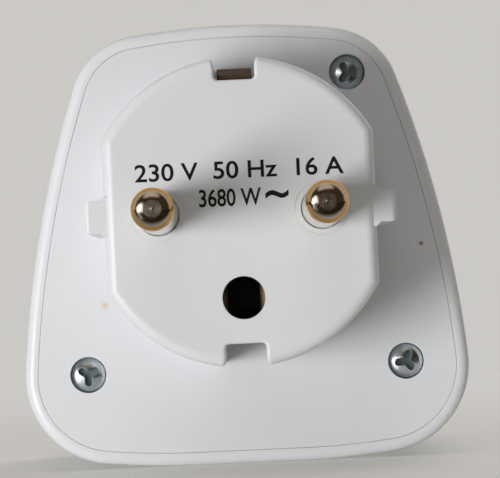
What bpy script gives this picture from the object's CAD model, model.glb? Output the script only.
import math

import bmesh
import bpy
from mathutils import Euler, Matrix, Vector


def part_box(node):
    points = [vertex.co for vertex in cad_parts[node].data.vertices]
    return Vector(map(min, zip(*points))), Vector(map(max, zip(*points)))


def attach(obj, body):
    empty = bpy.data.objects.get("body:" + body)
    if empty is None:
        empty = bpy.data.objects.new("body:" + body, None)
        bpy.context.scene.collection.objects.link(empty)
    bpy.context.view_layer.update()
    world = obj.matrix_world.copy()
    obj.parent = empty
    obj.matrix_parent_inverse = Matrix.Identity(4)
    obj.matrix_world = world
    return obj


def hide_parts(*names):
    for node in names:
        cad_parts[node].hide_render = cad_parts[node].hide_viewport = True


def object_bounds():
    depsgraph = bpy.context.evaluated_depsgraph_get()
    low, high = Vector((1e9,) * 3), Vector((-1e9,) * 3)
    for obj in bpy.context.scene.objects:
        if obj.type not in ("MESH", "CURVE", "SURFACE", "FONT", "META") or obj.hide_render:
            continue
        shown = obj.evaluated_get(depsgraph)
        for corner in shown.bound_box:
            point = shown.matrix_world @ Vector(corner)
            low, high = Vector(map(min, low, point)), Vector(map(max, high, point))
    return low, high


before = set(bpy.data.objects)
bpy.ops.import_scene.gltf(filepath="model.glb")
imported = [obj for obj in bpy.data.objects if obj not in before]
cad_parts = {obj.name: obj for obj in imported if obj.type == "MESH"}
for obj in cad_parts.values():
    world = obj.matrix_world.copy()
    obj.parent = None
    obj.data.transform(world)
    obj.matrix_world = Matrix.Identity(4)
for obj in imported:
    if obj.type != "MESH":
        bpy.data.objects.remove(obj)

cad_low, cad_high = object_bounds()
scene = bpy.context.scene

# Camera.  It looks at the plug from straight behind, a little below its axis, and is
# rolled a few degrees, so the casing leans slightly in the frame.
CAMERA_AIM = Vector((-0.00099, 0, -0.00326))
CAMERA_ROLL = Euler((0, 0, math.radians(-2.6)))
camera_data = bpy.data.cameras.new("camera")
camera_data.lens = 177.5
camera_data.sensor_width = 36
camera = bpy.data.objects.new("camera", camera_data)
scene.collection.objects.link(camera)
camera.location = (-0.00009, 0.285, -0.01028)
camera.rotation_mode = "QUATERNION"
camera.rotation_quaternion = ((CAMERA_AIM - camera.location).to_track_quat("-Z", "Y")
                              @ CAMERA_ROLL.to_quaternion())
scene.camera = camera
scene.view_settings.view_transform = "Standard"

# Table.  A wide pale sheet of frosted glass under the casing's foot, which lets the low
# lamp's light through.  Far from the part it takes the colour of the room.
ROOM_COLOUR = (0.60, 0.585, 0.555, 1)
TABLE_COLOUR = (0.70, 0.685, 0.65, 1)
DARK_TABLE = (0.030, 0.019, 0.010, 1)
TABLE_REACH = 4


def new_material(name):
    """Empty node material with its output node."""
    material = bpy.data.materials.new(name)
    material.use_nodes = True
    material.node_tree.nodes.clear()
    output = material.node_tree.nodes.new("ShaderNodeOutputMaterial")
    return material, material.node_tree, output


def add(tree, kind, inputs=None, **settings):
    """New node with its properties set, and its inputs given as values or other sockets."""
    node = tree.nodes.new(kind)
    for name, setting in settings.items():
        setattr(node, name, setting)
    for name, source in (inputs or {}).items():
        if isinstance(source, bpy.types.NodeSocket):
            tree.links.new(source, node.inputs[name])
        else:
            node.inputs[name].default_value = source
    return node


def calc(tree, operation, *terms):
    """Result of a Math node."""
    node = add(tree, "ShaderNodeMath", dict(enumerate(terms)), operation=operation)
    return node.outputs["Value"]


def ramp(tree, source, low, high, to_low=0, to_high=1, smooth=False):
    """Value carried from one range to another, and held at its ends."""
    limits = {"Value": source, "From Min": low, "From Max": high, "To Min": to_low, "To Max": to_high}
    shape = "SMOOTHSTEP" if smooth else "LINEAR"
    node = add(tree, "ShaderNodeMapRange", limits, interpolation_type=shape)
    return node.outputs["Result"]


def mixed(tree, share, first, second):
    """Colour between two colours."""
    colours = {"Factor": share, "A": first, "B": second}
    return add(tree, "ShaderNodeMix", colours, data_type="RGBA").outputs["Result"]


def axes_of(tree, source):
    """X, Y and Z of a vector, by name."""
    return add(tree, "ShaderNodeSeparateXYZ", {"Vector": source}).outputs


def length_of(tree, source):
    """Length of a vector."""
    return add(tree, "ShaderNodeVectorMath", {0: source}, operation="LENGTH").outputs["Value"]


frosted, tree, output = new_material("frosted_table")
place = add(tree, "ShaderNodeTexCoord").outputs["Object"]
rays = add(tree, "ShaderNodeLightPath").outputs
away = ramp(tree, length_of(tree, place), 0.05, 0.30, to_low=0.45, smooth=True)
in_sight = calc(tree, "MAXIMUM", calc(tree, "MAXIMUM", rays["Is Camera Ray"], rays["Is Glossy Ray"]),
                rays["Is Transmission Ray"])
pin_side = ramp(tree, axes_of(tree, place)["Y"], 0.0, 0.06, smooth=True)
dimmed = calc(tree, "MULTIPLY", pin_side, rays["Is Glossy Ray"])
sheet = add(tree, "ShaderNodeBsdfPrincipled",
            {"Base Color": TABLE_COLOUR, "Roughness": 0.75, "Specular IOR Level": 0.2})
room = add(tree, "ShaderNodeEmission",
           {"Color": mixed(tree, dimmed, ROOM_COLOUR, DARK_TABLE), "Strength": 1})
blend = add(tree, "ShaderNodeMixShader", {
    "Fac": calc(tree, "MAXIMUM", calc(tree, "MULTIPLY", away, in_sight), dimmed),
    1: sheet.outputs["BSDF"], 2: room.outputs["Emission"]})
tree.links.new(blend.outputs["Shader"], output.inputs["Surface"])

table_corners = [(x, y, 0) for x, y in ((-TABLE_REACH, -TABLE_REACH), (TABLE_REACH, -TABLE_REACH),
                                        (TABLE_REACH, TABLE_REACH), (-TABLE_REACH, TABLE_REACH))]
table_data = bpy.data.meshes.new("table")
table_data.from_pydata(table_corners, [], [(0, 1, 2, 3)])
table_data.transform(Matrix.Translation((0, 0, cad_low.z)))
table_data.materials.append(frosted)
table = bpy.data.objects.new("table", table_data)
scene.collection.objects.link(table)
table.visible_shadow = False

# Room and lamps.  Dim soft light, more from above than below; a low lamp that throws the plug
# block's shadow across the cover, one overhead and one on the outlet's side.  Bright metal
# mirrors the pale room, with a dark wall and a window behind the camera.
DARK_WALL = (0.055, 0.036, 0.020, 1)
WINDOW_LIGHT = (2.6, 2.6, 2.6, 1)
SKYLIGHT = (0.62, 0.56, 0.46, 1)
WINDOW_SIDE = Vector((0.58, 0.78, -0.24)).normalized()
SKYLIGHT_SIDE = Vector((0.05, 0.60, 0.80)).normalized()
AIR_COLOUR = (1.0, 0.975, 0.93, 1)
LAMP_AIM = Vector((0, -0.01, 0))
world = bpy.data.worlds.new("room")
scene.world = world
world.use_nodes = True
tree = world.node_tree
tree.nodes.clear()
rays = add(tree, "ShaderNodeLightPath").outputs
direction = add(tree, "ShaderNodeTexCoord").outputs["Generated"]
axes = axes_of(tree, direction)
mirror_image = mixed(tree, ramp(tree, axes["Y"], 0.0, 0.45, smooth=True), ROOM_COLOUR, DARK_WALL)
for side, inner, outer, brightness in ((WINDOW_SIDE, 0.90, 0.83, WINDOW_LIGHT),
                                       (SKYLIGHT_SIDE, 0.97, 0.86, SKYLIGHT)):
    towards = add(tree, "ShaderNodeVectorMath", {0: direction, 1: side}, operation="DOT_PRODUCT")
    patch = ramp(tree, towards.outputs["Value"], outer, inner, smooth=True)
    mirror_image = mixed(tree, patch, mirror_image, brightness)
overhead = ramp(tree, axes["Z"], -0.8, 0.9, to_low=0.035, to_high=0.145)
lit = add(tree, "ShaderNodeBackground", {"Color": AIR_COLOUR, "Strength": overhead})
shown = add(tree, "ShaderNodeBackground", {"Color": ROOM_COLOUR, "Strength": 1})
mirrored = add(tree, "ShaderNodeBackground", {"Color": mirror_image, "Strength": 1})
through = calc(tree, "MAXIMUM", rays["Is Camera Ray"], rays["Is Transmission Ray"])
to_eye = add(tree, "ShaderNodeMixShader",
             {"Fac": through, 1: lit.outputs["Background"], 2: shown.outputs["Background"]})
to_gloss = add(tree, "ShaderNodeMixShader", {
    "Fac": rays["Is Glossy Ray"], 1: to_eye.outputs["Shader"], 2: mirrored.outputs["Background"]})
add(tree, "ShaderNodeOutputWorld", {"Surface": to_gloss.outputs["Shader"]})
for name, spot, size, power, colour in (
        ("low_lamp", (0.346, 0.374, -0.098), 0.25, 2.10, (0.98, 0.99, 1.0)),
        ("top_lamp", (0.05, 0.08, 0.52), 0.40, 0.80, (1.0, 0.985, 0.96)),
        ("outlet_lamp", (-0.24, -0.53, 0.28), 0.40, 2.5, (1.0, 1.0, 1.0))):
    lamp_data = bpy.data.lights.new(name, "AREA")
    lamp_data.shape = "DISK"
    lamp_data.size = size
    lamp_data.energy = power
    lamp_data.color = colour
    lamp = bpy.data.objects.new(name, lamp_data)
    scene.collection.objects.link(lamp)
    lamp.location = spot
    lamp.visible_glossy = name == "low_lamp"
    lamp.rotation_euler = (LAMP_AIM - lamp.location).to_track_quat("-Z", "Y").to_euler()

# Front shell.  The deep cup of the casing, moulded in white ABS in a polished tool, so it
# has a soft shine with a faint waviness.


def moulded(name, colour, roughness, grain, depth, gloss=0.45):
    """Moulded plastic: near-even colour, fine tool texture, eased edges, uneven gloss."""
    material, tree, output = new_material(name)
    place = add(tree, "ShaderNodeTexCoord").outputs["Object"]
    wave = add(tree, "ShaderNodeTexNoise", {"Vector": place, "Scale": 90, "Detail": 2})
    texture = add(tree, "ShaderNodeTexNoise",
                  {"Vector": place, "Scale": grain, "Detail": 3, "Roughness": 0.6})
    darker = (*[channel * 0.975 for channel in colour], 1)
    lighter = (*[min(channel * 1.02, 1) for channel in colour], 1)
    eased = add(tree, "ShaderNodeBevel", {"Radius": 0.00012}, samples=4)
    relief = add(tree, "ShaderNodeBump", {
        "Strength": 0.25, "Distance": depth, "Height": texture.outputs["Fac"],
        "Normal": eased.outputs["Normal"]})
    plastic = add(tree, "ShaderNodeBsdfPrincipled", {
        "Specular IOR Level": gloss, "Base Color": mixed(tree, wave.outputs["Fac"], darker, lighter),
        "Roughness": ramp(tree, texture.outputs["Fac"], 0, 1, roughness - 0.05, roughness + 0.07),
        "Normal": relief.outputs["Normal"]})
    tree.links.new(plastic.outputs["BSDF"], output.inputs["Surface"])
    return material


def finish_node(material, *nodes):
    """Give CAD nodes their finish."""
    for node in nodes:
        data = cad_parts[node].data
        data.materials.clear()
        data.materials.append(material)


finish_node(moulded("white_shell", (0.80, 0.81, 0.83), 0.30, 2600, 0.00004), "front_shell")

# Outlet well.  A separate white cup pressed into the shell's round opening, with two
# guide slots and a floor with the pin holes.
finish_node(moulded("white_well", (0.78, 0.79, 0.80), 0.32, 3000, 0.00004), "outlet_well")

# Shutter and holders.  Plain natural mouldings: the shutter, whose blades close the pin
# holes behind the well's floor, the contacts' holder and the display's holder.
finish_node(moulded("natural_plastic", (0.66, 0.66, 0.63), 0.45, 1500, 0.00005),
            "shutter", "contact_holder", "lcd_holder")

# Shutter spring.  Bright drawn steel wire round the shutter's hub, which turns the blades
# back over the pin holes.


def metal(name, colour, roughness, scale, depth, stretch=(1, 1, 1)):
    """Bare or plated metal with uneven shine and fine drawn or rolled lines."""
    material, tree, output = new_material(name)
    place = add(tree, "ShaderNodeTexCoord").outputs["Object"]
    along = add(tree, "ShaderNodeMapping", {"Vector": place, "Scale": stretch}).outputs["Vector"]
    lines = add(tree, "ShaderNodeTexNoise",
                {"Vector": along, "Scale": scale, "Detail": 4, "Roughness": 0.65})
    blotches = add(tree, "ShaderNodeTexNoise", {"Vector": place, "Scale": 500, "Detail": 2})
    darker = (*[channel * 0.80 for channel in colour], 1)
    lighter = (*[min(channel * 1.08, 1) for channel in colour], 1)
    relief = add(tree, "ShaderNodeBump",
                 {"Strength": 0.2, "Distance": depth, "Height": lines.outputs["Fac"]})
    surface = add(tree, "ShaderNodeBsdfPrincipled", {
        "Metallic": 1.0, "Base Color": mixed(tree, blotches.outputs["Fac"], darker, lighter),
        "Roughness": ramp(tree, lines.outputs["Fac"], 0, 1, max(roughness - 0.08, 0.03), roughness + 0.12),
        "Normal": relief.outputs["Normal"]})
    tree.links.new(surface.outputs["BSDF"], output.inputs["Surface"])
    return material


finish_node(metal("spring_wire", (0.55, 0.56, 0.57), 0.25, 3000, 0.00001), "shutter_spring")

# Contacts and straps.  Stamped from brass strip, whose rolling lines run along it; the
# outlet's earth clip is nickel plated and the shunt is a copper alloy.
ALONG_STRIP = (1, 0.08, 1)
finish_node(metal("brass_strip", (0.60, 0.43, 0.20), 0.28, 1800, 0.000012, ALONG_STRIP),
            "live_contact", "neutral_contact", "neutral_link", "earth_link")
finish_node(metal("plated_clip", (0.66, 0.64, 0.60), 0.20, 1800, 0.00001, ALONG_STRIP), "outlet_earth_clip")
finish_node(metal("shunt_alloy", (0.55, 0.36, 0.26), 0.30, 1800, 0.00001, ALONG_STRIP), "shunt_resistor")

# Boards and their parts.  Green solder mask, black packages, a yellow film capacitor, a
# sleeved electrolytic and a coin cell under a spring clip, all behind closed walls.
finish_node(moulded("solder_mask", (0.03, 0.20, 0.09), 0.30, 1800, 0.00002), "main_board", "display_board")
finish_node(moulded("black_package", (0.025, 0.025, 0.027), 0.5, 4000, 0.00003),
            "metering_chip", "pin_header", "tact_switches")
finish_node(moulded("yellow_box", (0.55, 0.42, 0.06), 0.35, 1500, 0.00003), "film_capacitor")
finish_node(moulded("black_rubber", (0.03, 0.03, 0.03), 0.7, 2500, 0.00005, 0.2), "zebra_strip")
finish_node(metal("bare_steel", (0.60, 0.60, 0.60), 0.28, 2200, 0.00001),
            "electrolytic_capacitor", "coin_cell", "cell_clip", "holder_screws")

# Display cell.  A grey-green reflective liquid crystal cell, held behind the lens, with a
# fine mottle in its reflector.
display_glass, tree, output = new_material("display_glass")
place = add(tree, "ShaderNodeTexCoord").outputs["Object"]
grain = add(tree, "ShaderNodeTexNoise", {"Vector": place, "Scale": 4000, "Detail": 2}).outputs["Fac"]
cell = add(tree, "ShaderNodeBsdfPrincipled", {
    "Roughness": 0.22, "Specular IOR Level": 0.5,
    "Base Color": mixed(tree, grain, (0.30, 0.34, 0.27, 1), (0.38, 0.42, 0.34, 1))})
tree.links.new(cell.outputs["BSDF"], output.inputs["Surface"])
finish_node(display_glass, "lcd_glass")

# Display segments.  The cell's dark bars: seven to a digit, two leaning strokes for the
# unit, and a row of five ticks that shows the load.
FIRST_DIGIT = -0.0062
DIGIT_PITCH = 0.0026
SEGMENT_LENGTH = 0.00120
SEGMENT_REACH = SEGMENT_LENGTH * 1.08
SEGMENT_RISE = 0.00001
UNIT_STROKES = ((0.00315, 1.25), (0.00385, -1.25))
FIRST_TICK = 0.0056
TICK_PITCH = 0.00085
UPRIGHT = math.pi / 2
SEGMENT_PLACES = {"a": (0, 1, 0), "b": (0.5, 0.5, 1), "c": (0.5, -0.5, 1), "d": (0, -1, 0),
                  "e": (-0.5, -0.5, 1), "f": (-0.5, 0.5, 1), "g": (0, 0, 0)}
LIT_SEGMENTS = {"0": "abcdef", "2": "abdeg", "3": "abcdg"}
glass_low, glass_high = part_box("lcd_glass")
glass_middle = (glass_low.z + glass_high.z) / 2 - 0.0007
glass_front = glass_low.y - SEGMENT_RISE
segment_points = []
segment_turns = []
for position, digit in enumerate("230"):
    digit_middle = FIRST_DIGIT + position * DIGIT_PITCH
    for letter in LIT_SEGMENTS[digit]:
        across, up, is_upright = SEGMENT_PLACES[letter]
        segment_points.append((digit_middle + across * SEGMENT_REACH, glass_front,
                               glass_middle + up * SEGMENT_REACH))
        segment_turns.append(UPRIGHT * is_upright)
for stroke_x, lean in UNIT_STROKES:
    segment_points.append((stroke_x, glass_front, glass_middle))
    segment_turns.append(lean)
for tick in range(5):
    segment_points.append((FIRST_TICK + tick * TICK_PITCH, glass_front,
                           glass_middle - SEGMENT_LENGTH * 0.6))
    segment_turns.append(UPRIGHT)


def vector(tree, **axes):
    """Vector with the given X, Y or Z."""
    return add(tree, "ShaderNodeCombineXYZ", axes).outputs["Vector"]


def tree_with_inputs(name, inputs):
    """Geometry Nodes tree with a geometry socket and named inputs."""
    group = bpy.data.node_groups.new(name, "GeometryNodeTree")
    group.interface.new_socket("Geometry", in_out="INPUT", socket_type="NodeSocketGeometry")
    group.interface.new_socket("Geometry", in_out="OUTPUT", socket_type="NodeSocketGeometry")
    for label, kind in inputs:
        group.interface.new_socket(label, in_out="INPUT", socket_type=kind)
    return group, group.nodes.new("NodeGroupInput").outputs, group.nodes.new("NodeGroupOutput")


def repeated(group, points, piece):
    """The piece on every point, turned about Y by the point's own angle, as one solid mesh."""
    turn = add(group, "GeometryNodeInputNamedAttribute", {"Name": "turn"}, data_type="FLOAT")
    rotation = vector(group, Y=turn.outputs["Attribute"])
    placed = add(group, "GeometryNodeInstanceOnPoints",
                 {"Points": points, "Instance": piece, "Rotation": rotation})
    solid = add(group, "GeometryNodeRealizeInstances", {"Geometry": placed.outputs["Instances"]})
    return solid.outputs["Geometry"]


def on_points(name, group, points, turns, settings):
    """Run a tree on turned points, and keep the result as a plain mesh object."""
    data = bpy.data.meshes.new(name)
    data.from_pydata(points, [], [])
    data.attributes.new("turn", "FLOAT", "POINT").data.foreach_set("value", turns)
    piece = bpy.data.objects.new(name, data)
    scene.collection.objects.link(piece)
    modifier = piece.modifiers.new(name, "NODES")
    modifier.node_group = group
    for socket in group.interface.items_tree:
        if socket.in_out == "INPUT" and socket.name in settings:
            modifier[socket.identifier] = settings[socket.name]
    depsgraph = bpy.context.evaluated_depsgraph_get()
    result = bpy.data.meshes.new_from_object(piece.evaluated_get(depsgraph), depsgraph=depsgraph)
    piece.modifiers.clear()
    piece.data = result
    return piece


group, sizes, end = tree_with_inputs("segment_bars", (
    ("Length", "NodeSocketFloat"), ("Width", "NodeSocketFloat"), ("Thickness", "NodeSocketFloat"),
    ("Material", "NodeSocketMaterial")))
bar = add(group, "GeometryNodeMeshCylinder", {
    "Vertices": 6, "Radius": calc(group, "MULTIPLY", sizes["Width"], 0.5), "Depth": sizes["Thickness"]})
place = add(group, "GeometryNodeInputPosition").outputs["Position"]
which_end = calc(group, "SIGN", axes_of(group, place)["X"])
half_spare = calc(group, "MULTIPLY", calc(group, "SUBTRACT", sizes["Length"], sizes["Width"]), 0.5)
stretch = vector(group, X=calc(group, "MULTIPLY", which_end, half_spare))
stretched = add(group, "GeometryNodeSetPosition", {"Geometry": bar.outputs["Mesh"], "Offset": stretch})
facing = add(group, "GeometryNodeTransform",
             {"Geometry": stretched.outputs["Geometry"], "Rotation": (UPRIGHT, 0, 0)})
solid = repeated(group, sizes["Geometry"], facing.outputs["Geometry"])
coated = add(group, "GeometryNodeSetMaterial", {"Geometry": solid, "Material": sizes["Material"]})
group.links.new(coated.outputs["Geometry"], end.inputs["Geometry"])
dark_crystal = moulded("dark_crystal", (0.035, 0.045, 0.04), 0.35, 4000, 0.00001)
display_segments = on_points("display_segments", group, segment_points, segment_turns, {
    "Length": SEGMENT_LENGTH, "Width": 0.00042, "Thickness": 0.00003, "Material": dark_crystal})
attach(display_segments, "casing")

# Display lens.  Acrylic, printed black on its back round a clear window, and set flush
# into the front shell.
WINDOW_HALF_WIDTH = 0.0104
WINDOW_LOW, WINDOW_HIGH = -0.0266, -0.0220
CLEAR_ALPHA = 0.10
lens_plastic, tree, output = new_material("lens_plastic")
place = add(tree, "ShaderNodeTexCoord").outputs["Object"]
axes = axes_of(tree, place)
beside = calc(tree, "GREATER_THAN", calc(tree, "ABSOLUTE", axes["X"]), WINDOW_HALF_WIDTH)
below = calc(tree, "LESS_THAN", axes["Z"], WINDOW_LOW)
over = calc(tree, "GREATER_THAN", axes["Z"], WINDOW_HIGH)
printed = calc(tree, "MAXIMUM", calc(tree, "MAXIMUM", beside, below), over)
dust = add(tree, "ShaderNodeTexNoise", {"Vector": place, "Scale": 1500, "Detail": 5, "Roughness": 0.7})
acrylic = add(tree, "ShaderNodeBsdfPrincipled", {
    "Roughness": 0.06, "Specular IOR Level": 0.5, "Alpha": ramp(tree, printed, 0, 1, to_low=CLEAR_ALPHA),
    "Base Color": mixed(tree, dust.outputs["Fac"], (0.010, 0.010, 0.012, 1), (0.022, 0.022, 0.024, 1))})
tree.links.new(acrylic.outputs["BSDF"], output.inputs["Surface"])
finish_node(lens_plastic, "display_lens")

# Buttons.  Two dark grey caps either side of the display, one marked with a bar and one
# with a ring, engraved and filled with white paint.
CAP_GREY = (0.10, 0.115, 0.135)
MARK_WHITE = (0.66, 0.68, 0.70, 1)
MARK_RADIUS = 0.00044
GROOVE_EDGES = (0.00017, 0.00012)
PAINT_EDGES = (0.00030, 0.00020)
GROOVE_DEPTH = 2.0


def first_of_kind(tree, kind):
    """A tree's first node of one kind."""
    return next(node for node in tree.nodes if node.type == kind)


def source_of(socket):
    """The output that feeds an input."""
    return socket.links[0].from_socket


for button, half_length in (("button_mode", 0.00075), ("button_reset", 0.0)):
    cap = moulded(f"{button}_cap", CAP_GREY, 0.42, 2600, 0.00004)
    tree = cap.node_tree
    plastic = first_of_kind(tree, "BSDF_PRINCIPLED")
    relief = first_of_kind(tree, "BUMP")
    place = first_of_kind(tree, "TEX_COORD").outputs["Object"]
    low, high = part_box(button)
    middle = (low + high) / 2
    centred = add(tree, "ShaderNodeMapping", {"Vector": place, "Location": (-middle.x, -low.y, -middle.z)})
    axes = axes_of(tree, centred.outputs["Vector"])
    spare = calc(tree, "SUBTRACT", calc(tree, "ABSOLUTE", axes["X"]), half_length)
    reach = length_of(tree, vector(tree, X=calc(tree, "MAXIMUM", spare, 0.0), Z=axes["Z"]))
    off_line = calc(tree, "ABSOLUTE", calc(tree, "SUBTRACT", reach, MARK_RADIUS))
    paint = calc(tree, "MULTIPLY", ramp(tree, off_line, *GROOVE_EDGES), ramp(tree, axes["Y"], *PAINT_EDGES))
    painted = mixed(tree, paint, source_of(plastic.inputs["Base Color"]), MARK_WHITE)
    tree.links.new(painted, plastic.inputs["Base Color"])
    depth = calc(tree, "MULTIPLY", paint, GROOVE_DEPTH)
    sunk = calc(tree, "SUBTRACT", source_of(relief.inputs["Height"]), depth)
    tree.links.new(sunk, relief.inputs["Height"])
    finish_node(cap, button)

# Rear cover with the plug block.  One white ABS moulding that drops into the shell's rim.
# It has picked up two faint brown spots in use.
COVER_FACE = -0.0175
DARK_SPOT = (0.26, 0.15, 0.035, 1)
PALE_SPOT = (0.66, 0.53, 0.26, 1)
white_cover = moulded("white_cover", (0.79, 0.80, 0.82), 0.32, 3200, 0.00004)
tree = white_cover.node_tree
plastic = first_of_kind(tree, "BSDF_PRINCIPLED")
place = first_of_kind(tree, "TEX_COORD").outputs["Object"]
colour = source_of(plastic.inputs["Base Color"])
ragged = add(tree, "ShaderNodeTexNoise", {"Vector": place, "Scale": 2200, "Detail": 3})
uneven = ramp(tree, ragged.outputs["Fac"], 0.3, 0.6, to_low=0.5)
for spot_x, spot_z, reach, strength, brown in ((-0.0220, -0.0043, 0.00042, 1.0, DARK_SPOT),
                                               (0.0171, -0.0102, 0.00070, 0.6, PALE_SPOT)):
    spot = (spot_x, COVER_FACE, spot_z)
    gap = add(tree, "ShaderNodeVectorMath", {0: place, 1: spot}, operation="DISTANCE").outputs["Value"]
    fade = ramp(tree, gap, reach, reach * 0.2, to_high=strength, smooth=True)
    colour = mixed(tree, calc(tree, "MULTIPLY", fade, uneven), colour, brown)
tree.links.new(colour, plastic.inputs["Base Color"])
finish_node(white_cover, "rear_cover")

# Earth strips and earth contact.  The bowed strips in the notches are tarnished, dull brown;
# the contact behind the round hole is bright at one lip, and dark at the other and inside.
DARK_BRASS = (0.012, 0.008, 0.005, 1)
finish_node(moulded("tarnished_strip", (0.085, 0.052, 0.030), 0.70, 1500, 0.00003, 0.03), "earth_yoke")
lip_brass = metal("lip_brass", (0.97, 0.70, 0.38), 0.42, 1800, 0.000012, ALONG_STRIP)
tree = lip_brass.node_tree
surface = first_of_kind(tree, "BSDF_PRINCIPLED")
surface.inputs["Metallic"].default_value = 0.1
axes = axes_of(tree, first_of_kind(tree, "TEX_COORD").outputs["Object"])
inside = ramp(tree, axes["Y"], -0.0072, -0.0080)
dull_side = ramp(tree, axes["X"], 0.0, 0.0005, to_high=0.85)
darkness = calc(tree, "MAXIMUM", inside, dull_side)
dulled = mixed(tree, darkness, source_of(surface.inputs["Base Color"]), DARK_BRASS)
tree.links.new(dulled, surface.inputs["Base Color"])
finish_node(lip_brass, "earth_pin_contact")

# Collars.  Thin white rings pressed round the pins' feet, flush with the plug's face, so
# that only a fine dark line shows round each pin.
PIN_RADIUS = 0.0024
RECESS_RADIUS = 0.0031
COLLAR_BORE = PIN_RADIUS + 0.00004
COLLAR_CHAMFER = PIN_RADIUS + 0.00010
COLLAR_EDGE = RECESS_RADIUS + 0.00003
COLLAR_FOOT = -0.00024
CHAMFER_FOOT = -0.00006
RING_STEPS = 96


def smoothed(data, degrees):
    """Smooth shading, crisp at edges that turn by more than the angle."""
    data.polygons.foreach_set("use_smooth", [True] * len(data.polygons))
    data.set_sharp_from_angle(angle=math.radians(degrees))


def lofted(name, body, material, rings):
    """Ring-shaped piece: closed loops of points, lofted from ring to ring."""
    shape = bmesh.new()
    loops = [[shape.verts.new(point) for point in ring] for ring in rings]
    for first, second in zip(loops, loops[1:] + loops[:1]):
        for index in range(len(first)):
            after = (index + 1) % len(first)
            shape.faces.new((first[index], first[after], second[after], second[index]))
    bmesh.ops.recalc_face_normals(shape, faces=shape.faces)
    data = bpy.data.meshes.new(name)
    shape.to_mesh(data)
    shape.free()
    smoothed(data, 40)
    data.materials.append(material)
    piece = bpy.data.objects.new(name, data)
    scene.collection.objects.link(piece)
    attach(piece, body)


pin_middles = {pin: (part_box(pin)[0].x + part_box(pin)[1].x) / 2 for pin in ("live_pin", "neutral_pin")}
for pin, middle_x in pin_middles.items():
    rings = []
    for radius, height in ((COLLAR_BORE, COLLAR_FOOT), (COLLAR_BORE, CHAMFER_FOOT), (COLLAR_CHAMFER, 0.0),
                           (COLLAR_EDGE, 0.0), (COLLAR_EDGE, COLLAR_FOOT)):
        rings.append([(middle_x + radius * math.cos(math.tau * step / RING_STEPS), height,
                       radius * math.sin(math.tau * step / RING_STEPS)) for step in range(RING_STEPS)])
    lofted(f"{pin}_collar", "casing", white_cover, rings)

# Plug pins.  Turned brass, nickel plated and polished.  The plating is thin where the
# rounded tip starts, so a golden ring shows, and the tip's flat keeps a turning mark.
DARK_NICKEL = (0.44, 0.38, 0.30, 1)
PALE_NICKEL = (0.70, 0.65, 0.56, 1)
WORN_GOLD = (0.60, 0.33, 0.09, 1)
WORN_RING = (0.00192, 0.00206)
TIP_START = (0.0170, 0.0176)
TIP_FLAT = (0.00104, 0.00096)
PIP_EDGES = (0.00010, 0.00020)
TURNING_PITCH = 45000
TURNING_DEPTH = 0.06
pin_plate, tree, output = new_material("pin_plate")
place = add(tree, "ShaderNodeTexCoord").outputs["Object"]
axes = axes_of(tree, place)
offset = calc(tree, "SUBTRACT", calc(tree, "ABSOLUTE", axes["X"]), pin_middles["live_pin"])
radius = length_of(tree, vector(tree, X=offset, Z=axes["Z"]))
worn = calc(tree, "MULTIPLY", ramp(tree, radius, *WORN_RING), ramp(tree, axes["Y"], *TIP_START))
specks = add(tree, "ShaderNodeTexNoise", {"Vector": place, "Scale": 2600, "Detail": 4, "Roughness": 0.7})
nickel = mixed(tree, specks.outputs["Fac"], DARK_NICKEL, PALE_NICKEL)
shine = ramp(tree, specks.outputs["Fac"], 0, 1, 0.03, 0.16)
ripple = calc(tree, "SINE", calc(tree, "MULTIPLY", radius, TURNING_PITCH))
turning = calc(tree, "MULTIPLY", ripple, TURNING_DEPTH)
height = calc(tree, "ADD", ramp(tree, radius, *PIP_EDGES, 1, 0), turning)
relief = add(tree, "ShaderNodeBump", {"Strength": 0.6, "Distance": 0.00004, "Height": height})
plated = add(tree, "ShaderNodeBsdfPrincipled", {
    "Metallic": 1.0, "Base Color": mixed(tree, worn, nickel, WORN_GOLD),
    "Roughness": calc(tree, "ADD", shine, ramp(tree, radius, *TIP_FLAT, to_high=0.13)),
    "Normal": relief.outputs["Normal"]})
tree.links.new(plated.outputs["BSDF"], output.inputs["Surface"])
finish_node(pin_plate, "live_pin", "neutral_pin")

# Case screws.  Three zinc plated steel screws with domed heads and a three-wing recess,
# each driven to its own angle; the upper one sits deep in its counterbore.
HEAD_RADIUS = 0.00205
HEAD_HEIGHT = 0.0016
DOME_POWER = 2.4
CAD_HEAD_RADIUS = 0.0021
HIGH_SCREW_X = -0.0139
LOW_SINK = 0.0001
HIGH_SINK = 0.0009
WING_ANGLES = (90, 210, 330)
SCREW_ANGLES = (0, -81, -35)
DARK_ZINC = (0.42, 0.47, 0.50, 1)
PALE_ZINC = (0.66, 0.72, 0.75, 1)
screws_low, screws_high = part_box("case_screws")
low_screw_x = screws_high.x - CAD_HEAD_RADIUS
low_screw_z = screws_low.z + CAD_HEAD_RADIUS
high_screw_z = screws_high.z - CAD_HEAD_RADIUS
screw_points = [(low_screw_x, screws_high.y, low_screw_z), (-low_screw_x, screws_high.y, low_screw_z),
                (HIGH_SCREW_X, screws_high.y + LOW_SINK - HIGH_SINK, high_screw_z)]
screw_turns = [math.radians(angle) for angle in SCREW_ANGLES]

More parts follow.
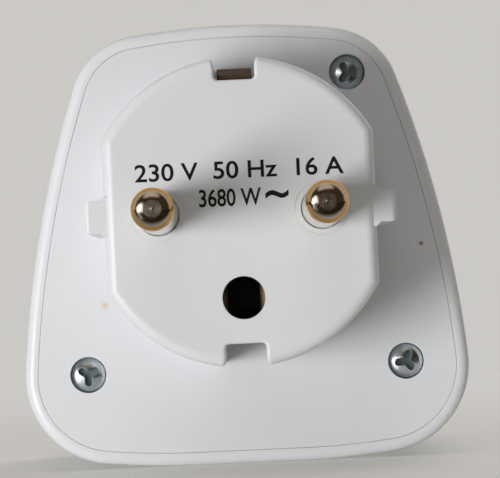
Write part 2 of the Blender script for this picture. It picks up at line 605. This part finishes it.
zinc_plate, tree, output = new_material("zinc_plate")
place = add(tree, "ShaderNodeTexCoord").outputs["Object"]
crystals = add(tree, "ShaderNodeTexVoronoi", {"Vector": place, "Scale": 1900})
scratches = add(tree, "ShaderNodeTexNoise", {"Vector": place, "Scale": 2500, "Detail": 4, "Roughness": 0.7})
eased = add(tree, "ShaderNodeBevel", {"Radius": 0.00010}, samples=4)
relief = add(tree, "ShaderNodeBump", {
    "Strength": 0.35, "Distance": 0.00003, "Height": crystals.outputs["Distance"],
    "Normal": eased.outputs["Normal"]})
plated = add(tree, "ShaderNodeBsdfPrincipled", {
    "Metallic": 1.0, "Base Color": mixed(tree, scratches.outputs["Fac"], DARK_ZINC, PALE_ZINC),
    "Roughness": ramp(tree, scratches.outputs["Fac"], 0, 1, 0.14, 0.34), "Normal": relief.outputs["Normal"]})
tree.links.new(plated.outputs["BSDF"], output.inputs["Surface"])
recess_zinc = metal("recess_zinc", (0.24, 0.32, 0.33), 0.34, 3000, 0.00001)

group, sizes, end = tree_with_inputs("screw_heads", (
    ("Head radius", "NodeSocketFloat"), ("Head height", "NodeSocketFloat"), ("Dome", "NodeSocketFloat"),
    ("Wing radius", "NodeSocketFloat"), ("Wing reach", "NodeSocketFloat"), ("Wing depth", "NodeSocketFloat"),
    ("Shank radius", "NodeSocketFloat"), ("Shank length", "NodeSocketFloat"),
    ("Material", "NodeSocketMaterial"), ("Recess material", "NodeSocketMaterial")))
place = add(group, "GeometryNodeInputPosition").outputs["Position"]
axes = axes_of(group, place)
head = add(group, "GeometryNodeMeshCylinder", {
    "Vertices": 72, "Fill Segments": 8, "Radius": sizes["Head radius"], "Depth": sizes["Head height"]},
    fill_type="TRIANGLE_FAN")
out = length_of(group, vector(group, X=axes["X"], Y=axes["Y"]))
curve = calc(group, "POWER", calc(group, "DIVIDE", out, sizes["Head radius"]), DOME_POWER)
drop = calc(group, "MULTIPLY", curve, sizes["Dome"])
domed = add(group, "GeometryNodeSetPosition", {
    "Geometry": head.outputs["Mesh"], "Selection": calc(group, "GREATER_THAN", axes["Z"], 0.0),
    "Offset": vector(group, Z=calc(group, "MULTIPLY", drop, -1.0))})
coated_head = add(group, "GeometryNodeSetMaterial",
                  {"Geometry": domed.outputs["Geometry"], "Material": sizes["Material"]})
twice_depth = calc(group, "MULTIPLY", sizes["Wing depth"], 2.0)
wing = add(group, "GeometryNodeMeshCylinder",
           {"Vertices": 24, "Radius": sizes["Wing radius"], "Depth": twice_depth})
beyond = calc(group, "GREATER_THAN", axes["X"], 0.0)
reach = calc(group, "SUBTRACT", sizes["Wing reach"], sizes["Wing radius"])
long_wing = add(group, "GeometryNodeSetPosition", {
    "Geometry": wing.outputs["Mesh"], "Offset": vector(group, X=calc(group, "MULTIPLY", beyond, reach))})
dark_wing = add(group, "GeometryNodeSetMaterial",
                {"Geometry": long_wing.outputs["Geometry"], "Material": sizes["Recess material"]})
head_top = vector(group, Z=calc(group, "MULTIPLY", sizes["Head height"], 0.5))
recessed = add(group, "GeometryNodeMeshBoolean", {0: coated_head.outputs["Geometry"]},
               operation="DIFFERENCE", solver="EXACT")
for angle in WING_ANGLES:
    turned_wing = add(group, "GeometryNodeTransform", {
        "Geometry": dark_wing.outputs["Geometry"], "Translation": head_top,
        "Rotation": (0, 0, math.radians(angle))})
    group.links.new(turned_wing.outputs["Geometry"], recessed.inputs[1])
shank = add(group, "GeometryNodeMeshCylinder", {
    "Vertices": 32, "Radius": sizes["Shank radius"], "Depth": sizes["Shank length"]})
both = calc(group, "ADD", sizes["Shank length"], sizes["Head height"])
shank_middle = vector(group, Z=calc(group, "MULTIPLY", both, -0.5))
low_shank = add(group, "GeometryNodeTransform",
                {"Geometry": shank.outputs["Mesh"], "Translation": shank_middle})
coated_shank = add(group, "GeometryNodeSetMaterial",
                   {"Geometry": low_shank.outputs["Geometry"], "Material": sizes["Material"]})
joined = add(group, "GeometryNodeJoinGeometry")
for part in (coated_shank.outputs["Geometry"], recessed.outputs["Mesh"]):
    group.links.new(part, joined.inputs[0])
seat = vector(group, Y=calc(group, "MULTIPLY", sizes["Head height"], -0.5))
facing = add(group, "GeometryNodeTransform", {
    "Geometry": joined.outputs["Geometry"], "Translation": seat, "Rotation": (-math.pi / 2, 0, 0)})
solid = repeated(group, sizes["Geometry"], facing.outputs["Geometry"])
group.links.new(solid, end.inputs["Geometry"])
case_screw_set = on_points("case_screw_set", group, screw_points, screw_turns, {
    "Head radius": HEAD_RADIUS, "Head height": HEAD_HEIGHT, "Dome": 0.00055,
    "Wing radius": 0.00046, "Wing reach": 0.00138, "Wing depth": 0.0011,
    "Shank radius": 0.0011, "Shank length": 0.0060, "Material": zinc_plate, "Recess material": recess_zinc})
smoothed(case_screw_set.data, 38)
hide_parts("case_screws")
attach(case_screw_set, "casing")

# Rating figures.  Two lines of plain figures pad printed in black ink on the plug's face,
# above and between the pins.
PRINT_THICKNESS = 0.00001
STROKE_GAIN = 0.014
JOIN_DISTANCE = 0.0005
printing_ink, tree, output = new_material("printing_ink")
place = add(tree, "ShaderNodeTexCoord").outputs["Object"]
pores = add(tree, "ShaderNodeTexNoise", {"Vector": place, "Scale": 5000, "Detail": 3}).outputs["Fac"]
ink = add(tree, "ShaderNodeBsdfPrincipled", {
    "Specular IOR Level": 0.15, "Roughness": ramp(tree, pores, 0, 1, 0.42, 0.62),
    "Base Color": mixed(tree, pores, (0.003, 0.003, 0.004, 1), (0.014, 0.014, 0.015, 1))})
tree.links.new(ink.outputs["BSDF"], output.inputs["Surface"])
figure_lines = (("230 V  50 Hz  16 A", (-0.0120, 0.0122), (0.0039, 0.0059)),
                ("3680 W", (-0.0047, 0.0025), (0.0007, 0.0027)),
                ("~", (0.0030, 0.0057), (0.0013, 0.0023)))
printed = bmesh.new()
for line, (left, right), (low, high) in figure_lines:
    text_data = bpy.data.curves.new("figures", "FONT")
    text_data.body = line
    text_data.resolution_u = 6
    text_data.offset = STROKE_GAIN
    text_data.extrude = 0.5
    text = bpy.data.objects.new("figures", text_data)
    scene.collection.objects.link(text)
    depsgraph = bpy.context.evaluated_depsgraph_get()
    outline = bpy.data.meshes.new_from_object(text.evaluated_get(depsgraph), depsgraph=depsgraph)
    bpy.data.objects.remove(text)
    corners = [vertex.co for vertex in outline.vertices]
    first = min(corner.x for corner in corners)
    last = max(corner.x for corner in corners)
    foot = min(corner.y for corner in corners) if line == "~" else 0.0
    cap = max(corner.y for corner in corners)
    across = (right - left) / (last - first)
    up = (high - low) / (cap - foot)
    letters = bmesh.new()
    letters.from_mesh(outline)
    bmesh.ops.remove_doubles(letters, verts=letters.verts, dist=JOIN_DISTANCE)
    letters.to_mesh(outline)
    letters.free()
    outline.transform(Matrix(((-across, 0, 0, first * across - left), (0, 0, PRINT_THICKNESS, 0),
                              (0, up, 0, low - foot * up), (0, 0, 0, 1))))
    printed.from_mesh(outline)
bmesh.ops.recalc_face_normals(printed, faces=printed.faces)
figures_data = bpy.data.meshes.new("rating_figures")
printed.to_mesh(figures_data)
printed.free()
figures_data.materials.append(printing_ink)
rating_figures = bpy.data.objects.new("rating_figures", figures_data)
scene.collection.objects.link(rating_figures)
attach(rating_figures, "casing")
